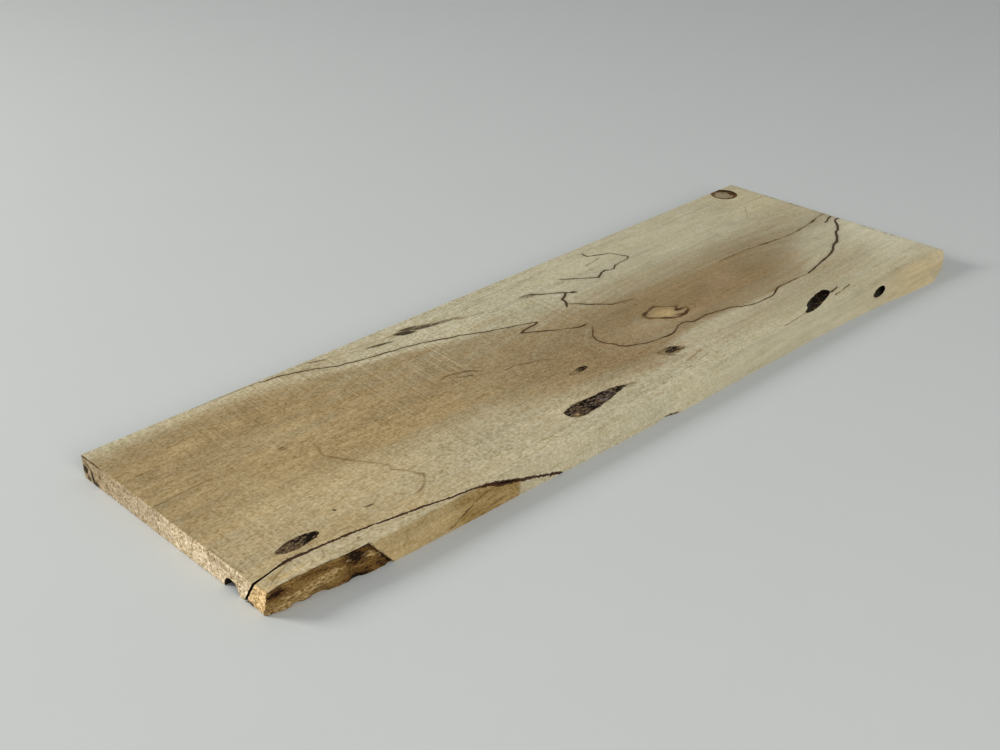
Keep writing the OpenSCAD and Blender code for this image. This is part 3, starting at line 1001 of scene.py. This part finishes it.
def with_stains(look, grain, colour):
    """Zone lines, smudges, the check's dark lips and the rims of the galleries, with painted shade:
    a shadow along the natural edge's foot, in the check's opening, and on the walls inside the
    galleries, the groove and the check.
    """
    ink, gap = look.mark("line_ink"), look.mark("line_gap")
    line = (gap + grain.streaks * 0.5).step(0.35, -0.1) * ink.step(-0.15, 0.7, 0.0, 0.95)
    halo = gap.step(2.6, 0.0) * 0.16 * ink
    line_colour = look.mix(ink.step(0.25, 0.6), OCHRE_LINE, ZONE_BROWN)
    colour = look.mix(look.most(line, halo), colour, line_colour)

    # Dark smudges, and a painted shadow along the natural edge's foot.
    stain_and_shadow = look.mark("smudge_and_shadow")
    ragged = (grain.streaks + grain.fibres + grain.crumbs) * 1.9
    smudge_and_shadow = (stain_and_shadow + ragged).step(0.2, 0.55) * stain_and_shadow.step(0.03, 0.85, 0.0, 0.95)
    rim = (look.mark("plug_mm") + grain.fibres * 1.6).step(0.4, 0.0, 0.0, 0.75)
    burnt = look.mix(look.most(stain_and_shadow, rim).step(0.3, 0.55), OCHRE_LINE, ZONE_BROWN)
    burnt = look.mix(stain_and_shadow.step(0.55, 1.0), burnt, BURNT_BROWN)
    colour = look.mix(look.most(smudge_and_shadow, rim) * 0.97, colour, burnt)

    # The check's lips: a red-brown stain and painted shade of its opening.
    splinters = grain.streaks * 1.4 + grain.crumbs * 1.8
    crack = (look.mark("crack_mm") + splinters).step(0.8, 0.5)
    colour = look.mix(crack * 0.95, colour, CHECK_STAIN_AND_SHADE)
    # Painted shade: the walls inside the galleries, the groove and the check, near black.
    return look.mix(look.mark("inside") * 0.95, colour, HOLLOW_SHADE)


def wood_look(name):
    """Sawn wood, with all that the fungus, the beetles and the saw did to it."""
    look = Look(name)
    grain = wood_grain(look)
    colour, pit_relief = with_end_grain(look, grain, sawn_colour(look, grain))
    colour = with_stains(look, grain, with_grain(look, grain, colour))
    height = grain.fibres * 0.5 + grain.saw * 1.1 + grain.crumbs * 0.5
    height = height - grain.pores * 0.35 - pit_relief * 3.0
    return look.finish(colour, grain.fibres * 0.3 + 0.72, height, 0.16)


def bark_look(name):
    """Inner bark: fibrous and brown, with golden torn ridges and blackish patches."""
    look = Look(name)
    strips = look.noise((12, 2.4, 1.5), 4, 0.65)
    crumbs = look.noise((3.2, 1.8, 1.5), 3, 0.7)
    grit = look.noise((1.5, 0.8, 0.7), 3, 0.7)
    tone = look.mark("tone") + strips * 1.4 + grit * 2.6 + crumbs * 2.4
    colour = look.mix(tone.step(0.1, 0.62), BARK_TAN, BARK_BROWN)
    colour = look.mix(tone.step(0.6, 1.0), colour, BARK_BLACK)
    torn = look.mark("gold") + strips * 0.9 + crumbs * 1.4
    colour = look.mix(torn.step(0.3, 0.7), colour, TORN_GOLD)
    colour = look.grained(colour, grit * 4.5 + crumbs * 2.2)
    height = strips * 0.6 + grit + crumbs * 0.8
    return look.finish(colour, grit * 0.2 + 0.85, height, 0.9)


def frass_look(name):
    """Packed frass: near-black crumbs with brown, grey and tan chips, and painted shade in the
    crevices between them and in its holes.
    """
    look = Look(name)
    chips = {"Vector": look.scaled(look.place, (1.7, 0.8, 0.8)), "Scale": 1.0}
    cells = look.add("ShaderNodeTexVoronoi", chips, "Distance")
    shades = look.add("ShaderNodeTexVoronoi", chips, "Color")
    shade = look.add("ShaderNodeSeparateColor", {0: shades}, 0)
    hue = look.add("ShaderNodeSeparateColor", {0: shades}, 1)
    grit = look.noise((0.8, 0.6, 0.6), 3, 0.75)
    hairs = look.noise((8, 0.7, 0.7), 3, 0.65)
    woody, lilac = look.mark("woody"), look.mark("lilac")
    light = (shade + look.mark("pale") + grit * 0.7 + hairs * 0.5).step(0.9, 1.45)
    colour = look.mix(light, FRASS_BLACK, FRASS_BROWN)
    greyer = hue.step(0.4, 0.9, 0.1, 0.8) * lilac.step(0.0, 0.2) * light
    colour = look.mix(greyer, colour, DUSKY_GREY)
    colour = look.mix((lilac + grit * 1.2).step(0.3, 0.6), colour, LILAC_GREY)
    colour = look.mix((look.mark("tan") + grit).step(0.3, 0.6), colour, CHIP_TAN)
    colour = look.mix((woody + grit * 0.9 + hairs * 1.1).step(0.35, 0.65), colour, STAINED_HEART)
    # Painted shade in the crevices between the chips.
    gaps = cells.step(0.35, 0.75, 0.0, 0.75) * woody.step(0.5, 0.1)
    colour = look.mix(gaps, colour, HOLLOW_SHADE)
    # Painted shade in the holes.
    void = (look.mark("void") + hairs * 0.8).step(0.35, 0.65)
    colour = look.mix(void, colour, HOLLOW_SHADE)
    colour = look.grained(colour, grit * 2.6)
    return look.finish(colour, grit * 0.2 + 0.88, grit - cells * 0.9, 0.35)


def knot_look(name):
    """The knot's own end grain: tight rings round its heart, darker and bark-stained outside."""
    look = Look(name)
    turns = look.add("ShaderNodeCombineXYZ", {"X": look.mark("radius_mm") * 1.1})
    rings = look.noise_at(turns, 3.0, 0.65)
    grit = look.noise((0.9, 0.9, 0.9), 4, 0.7)
    tone = look.mark("tone") + look.noise((5, 3, 5), 3) * 1.8 + rings * 1.8
    colour = look.mix(tone.step(0.1, 1.0), KNOT_GREY, BARK_BROWN)
    colour = look.mix(tone.step(0.85, 1.2), colour, BARK_BLACK)
    colour = look.shade(colour, grit * 0.9 + rings * 1.5)
    return look.finish(colour, grit * 0.2 + 0.75, rings + grit, 0.2)


def table_look(name):
    """A pale grey table top with the faintest mottling."""
    look = Look(name)
    mottle = look.noise((60, 60, 60), 4, 0.6)
    speck = look.noise((1.5, 1.5, 1.5), 2)
    colour = look.shade(TABLE_GREY, (mottle + speck) * 0.03)
    return look.finish(colour, mottle * 0.1 + 0.6, speck, 0.02)


# ---------------------------------------------------------------- the pieces


# The small flecks and a little round them, where the board's mesh is fine as well.
FLECK_PLACES = [(s, t, half_l + 0.8, half_w + 0.8, turn, 2)
                for s, t, half_l, half_w, turn, _ in SMUDGES if half_w < 2.5]


def board_spacing(points):
    """Fine along the marks, the live edge, the near end, the mouths and the small flecks."""
    s, t = sheet_place(points)
    gap, _ = ZONE.nearest(s, t)
    plain_s, _, depth = wood_place(points)
    _, live_mm = live_inward(points)
    wanted = np.clip(FINEST + 0.5 * gap, FINEST, COARSEST)
    for other in (
        1.1 + 0.3 * np.abs(live_mm),
        0.75 + 0.25 * plain_s,
        COARSEST - 3 * np.clip(spots(s, t, MOUTH_PLACES), 0, 1),
        COARSEST - 3.5 * np.clip(spots(s, t, FLECK_PLACES), 0, 1),
    ):
        wanted = np.minimum(wanted, other)
    on_underside = depth > THICKNESS - 0.01
    return np.where(on_underside, np.maximum(wanted, UNDERSIDE_FINEST), wanted)


def marks_on_faces():
    """The zone lines' own points on the planed face, so that the mesh follows them."""
    keep = ZONE.places[::3]
    x = CAD_LOW.x + keep[:, 0] / METRE
    y = CAD_HIGH.y - keep[:, 1] / METRE
    return {"top": np.stack([x, y, np.full(len(x), CAD_HIGH.z)], 1)}


def even_spacing(mm):
    def spacing(points):
        return np.full(len(points), float(mm))
    return spacing


def make_board(material):
    """The sound board, with the check's inner face and all the mouths of the galleries."""
    points, triangles, skins = divided_mesh("board", board_spacing, marks_on_faces())
    contact = distance_to(mesh_tree("edge_wedge"), points, 12)
    plug = distance_to(mesh_tree(*PLUGS, "knot_bark_ring"), points, 6)
    marks = wood_marks(points, contact, plug, skins)
    shift = rounded(points) + weathered_edge(points, SOUND_EDGE_RELIEF)
    shift += crumbled_end(points, SOUND_END_RELIEF)
    shift += parted(points, contact, 1) + moved_mouths(points)
    return new_piece("sound_board", points + shift, triangles, "board", marks, material)


def wedge_spacing(points):
    """Fine at the crumbled end, and coarser along the grain."""
    return np.minimum(1.3, 0.5 + 0.1 * wood_place(points)[0])


def make_wedge(material):
    """The punky wedge outside the check: golden on its outer face and round the crumbled end."""
    points, triangles, skins = divided_mesh("edge_wedge", wedge_spacing)
    contact = distance_to(mesh_tree("board"), points, 12)
    bark_gap = distance_to(mesh_tree("bark_patch"), points, 6)
    marks = wood_marks(points, contact, 0.45 * bark_gap + 0.4 * rough(points, (3, 3, 2), 73), skins)
    shift = rounded(points) + weathered_edge(points, PUNKY_EDGE_RELIEF)
    shift += crumbled_end(points, PUNKY_END_RELIEF) + parted(points, contact, -1)
    s, _, depth = wood_place(points)
    veins = rough(points, (5, 2.5, 2.5), 71)
    golden = marks["live"] * (1 - smooth(137, 140, s + 0.3 * depth))
    marks["heart"] = 0.22 + golden * (0.25 + 0.7 * smooth(94, 112, s))
    marks["gold"] = np.clip(0.55 + golden + smooth(0.0, 0.3, veins) * (1 - smooth(8, 40, s))
                            + smooth(6, 0, s) - 0.5 * smooth(130, 140, s), 0, 1.5)
    marks["bright"] = -golden * (0.1 + 0.26 * smooth(90, 108, s))
    marks["end_gold"] = np.ones(len(points))
    return new_piece("punky_wedge", points + shift, triangles, "edge_wedge",
                     marks, material)


def make_bark(material):
    """The inner bark on the wedge, in strips, stepped below and torn where the gold shows."""
    points, triangles, _ = divided_mesh("bark_patch", even_spacing(BARK_SPACING))
    s, _, depth = wood_place(points)
    live, live_mm = live_inward(points)
    end_gap = distance_to(mesh_tree("edge_wedge"), points, 3)
    dark, gold = spots(s, depth, BARK_DARK), spots(s, depth, BARK_GOLD)
    fringe = smooth(30, 45, s) * (1 - smooth(0.4, 2, end_gap))
    tone = 0.12 + 0.14 * smooth(28, 42, s) + dark + 0.5 * fringe
    strips = lumps(points, (12, 12, 1.7), 41)
    torn = lumps(points, (2.6, 2.6, 1.3), 43)
    steps = smooth(0.0, 0.2, rough(points * [1, 0, 0], (9, 1, 1), 47)) * smooth(7.5, 11, depth)
    relief = np.clip(0.6 * (strips + torn) - 0.5 * gold + 0.4 * dark, 0, 1.2) + 1.2 * steps
    shift = live * (BARK_RELIEF * relief * (1 - smooth(0.2, 2, live_mm)))[:, None] / METRE
    marks = {"tone": tone, "gold": gold}
    return new_piece("bark_patch_skin", points + shift + rounded(points), triangles, "bark_patch",
                     marks, material)


def make_ring(material):
    """The bark ring round the knot, shrunk and broken below the planed face."""
    points, triangles, _ = divided_mesh("knot_bark_ring", even_spacing(KNOT_SPACING))
    s, t, depth = wood_place(points)
    broken = lumps(points, (2, 2, 2), 51)
    points[:, 2] -= (1 - smooth(0, 0.4, depth)) * broken * 0.35 / METRE
    tone = 0.24 + 0.4 * broken + spots(s, t, RING_DARK)
    marks = {"tone": tone, "gold": np.zeros(len(points))}
    return new_piece("knot_ring", points, triangles, "knot_bark_ring", marks, material)


def make_knot(material):
    """The loose knot: a dark outer zone, thickest towards the sound end, round a grey heart."""
    points, triangles, _ = divided_mesh("loose_knot", even_spacing(KNOT_SPACING))
    s, t, depth = wood_place(points)
    heart_s, heart_t = KNOT_HEART
    radius = np.hypot(s - heart_s, (t - heart_t) * 0.9)
    uneven = rough(points, (3.5, 3.5, 3.5), 53)
    tone = smooth(3.6, 6.8, radius + 2 * uneven) * 0.7 + spots(s, t, KNOT_DARK)
    top = 1 - smooth(0, 0.3, depth)
    cracks = smooth(0.3, 0.6, rough(points, (1, 6, 6), 57))
    points[:, 2] -= top * (0.12 + 0.1 * uneven + 0.12 * cracks) / METRE
    marks = {"tone": tone, "radius_mm": radius}
    return new_piece("knot_heart", points, triangles, "loose_knot", marks, material)


def make_plug(node, material, sunk, coarse, spread, woody=0.0, grey=0.0):
    """A plug of frass: sunk and crumbly on top, without ever reaching its bore."""
    points, triangles, _ = divided_mesh(node, even_spacing(FRASS_SPACING))
    s, t, depth = wood_place(points)
    wall = distance_to(mesh_tree("board"), points, 6)
    crumbs = 0.65 * lumps(points, (2.2, 1.3, 1.3), 61) + 0.35 * lumps(points, (0.9, 0.7, 0.7), 63)
    # The holes: sunk here, and painted with shade by the frass's material.
    void = np.clip(spots(s, t, VOIDS), 0, 1)
    drop = sunk + coarse * crumbs + 3.0 * void
    top = depth < 0.01
    shift = moved_mouths(points)
    shift[:, 2] -= top * np.minimum(drop, 0.6 * wall) / METRE
    points = points + shift
    marks = {
        "pale": spread + spots(s, t, PALE_FRASS),
        "woody": woody + spots(s, t, WOODY_FRASS),
        "tan": spots(s, t, TAN_CHIPS),
        "lilac": grey + spots(s, t, LILAC_CHIPS),
        "void": void,
    }
    return new_piece(node + "_plug", points, triangles, node, marks, material, crease=60)


wood = wood_look("spalted_wood")
bark = bark_look("inner_bark")
frass = frass_look("packed_frass")
make_board(wood)
make_wedge(wood)
make_bark(bark)
make_ring(bark)
make_knot(knot_look("knot_grain"))
make_plug("near_frass", frass, sunk=0.1, coarse=0.45, spread=0.85, grey=0.1)
make_plug("middle_frass", frass, sunk=0.3, coarse=1.0, spread=0.55, grey=0.2)
make_plug("far_frass", frass, sunk=0.3, coarse=0.8, spread=0.3)
make_plug("inner_pocket_frass", frass, sunk=0.1, coarse=0.5, spread=0.3, woody=0.3)
make_plug("small_pocket_frass", frass, sunk=0.1, coarse=0.4, spread=0.3, woody=0.34)

# ---------------------------------------------------------------- floor, light and camera


def make_floor():
    bpy.ops.mesh.primitive_plane_add(size=12, location=(0, 0, CAD_LOW.z))
    floor = bpy.context.object
    floor.name = "table_top"
    floor.data.materials.append(table_look("pale_table"))


def make_area_light(name, towards, distance, size, power, colour):
    """A soft round panel that stands towards a direction and shines back at the board."""
    data = bpy.data.lights.new(name, "AREA")
    data.shape = "DISK"
    data.size = size
    data.energy = power
    data.color = colour
    lamp = bpy.data.objects.new(name, data)
    bpy.context.scene.collection.objects.link(lamp)
    direction = Vector(towards).normalized()
    lamp.location = direction * distance
    lamp.rotation_euler = direction.to_track_quat("Z", "Y").to_euler()


def make_world(colour, strength):
    world = bpy.data.worlds.new("studio")
    world.use_nodes = True
    background = world.node_tree.nodes["Background"]
    background.inputs["Color"].default_value = (*colour, 1)
    background.inputs["Strength"].default_value = strength
    bpy.context.scene.world = world


def make_camera(location, forward, lens):
    data = bpy.data.cameras.new("view")
    data.lens = lens
    data.sensor_width = 36
    data.clip_start = 0.01
    camera = bpy.data.objects.new("view", data)
    camera.location = location
    camera.rotation_euler = Vector(forward).to_track_quat("-Z", "Y").to_euler()
    bpy.context.scene.collection.objects.link(camera)
    bpy.context.scene.camera = camera


# The camera that fits the photo: its place, its heading along the table, its pitch and its lens.
EYE = (-0.4778, -0.4184, 0.3387)
HEADING = (0.7045, 0.7097)
PITCH = math.radians(28.8)
LENS = 46.8
SIGHT = (HEADING[0] * math.cos(PITCH), HEADING[1] * math.cos(PITCH), -math.sin(PITCH))

make_floor()
make_world(colour=(0.95, 0.98, 1.0), strength=0.4)
make_area_light("window", towards=(-1.0, 0.95, 0.65), distance=2.0, size=0.7, power=28,
                colour=(1.0, 0.99, 0.96))
make_area_light("fill", towards=(-0.3, -1.0, 0.55), distance=2.0, size=1.0, power=17,
                colour=(1.0, 0.985, 0.96))
make_camera(EYE, SIGHT, LENS)
bpy.context.scene.view_settings.view_transform = "Standard"
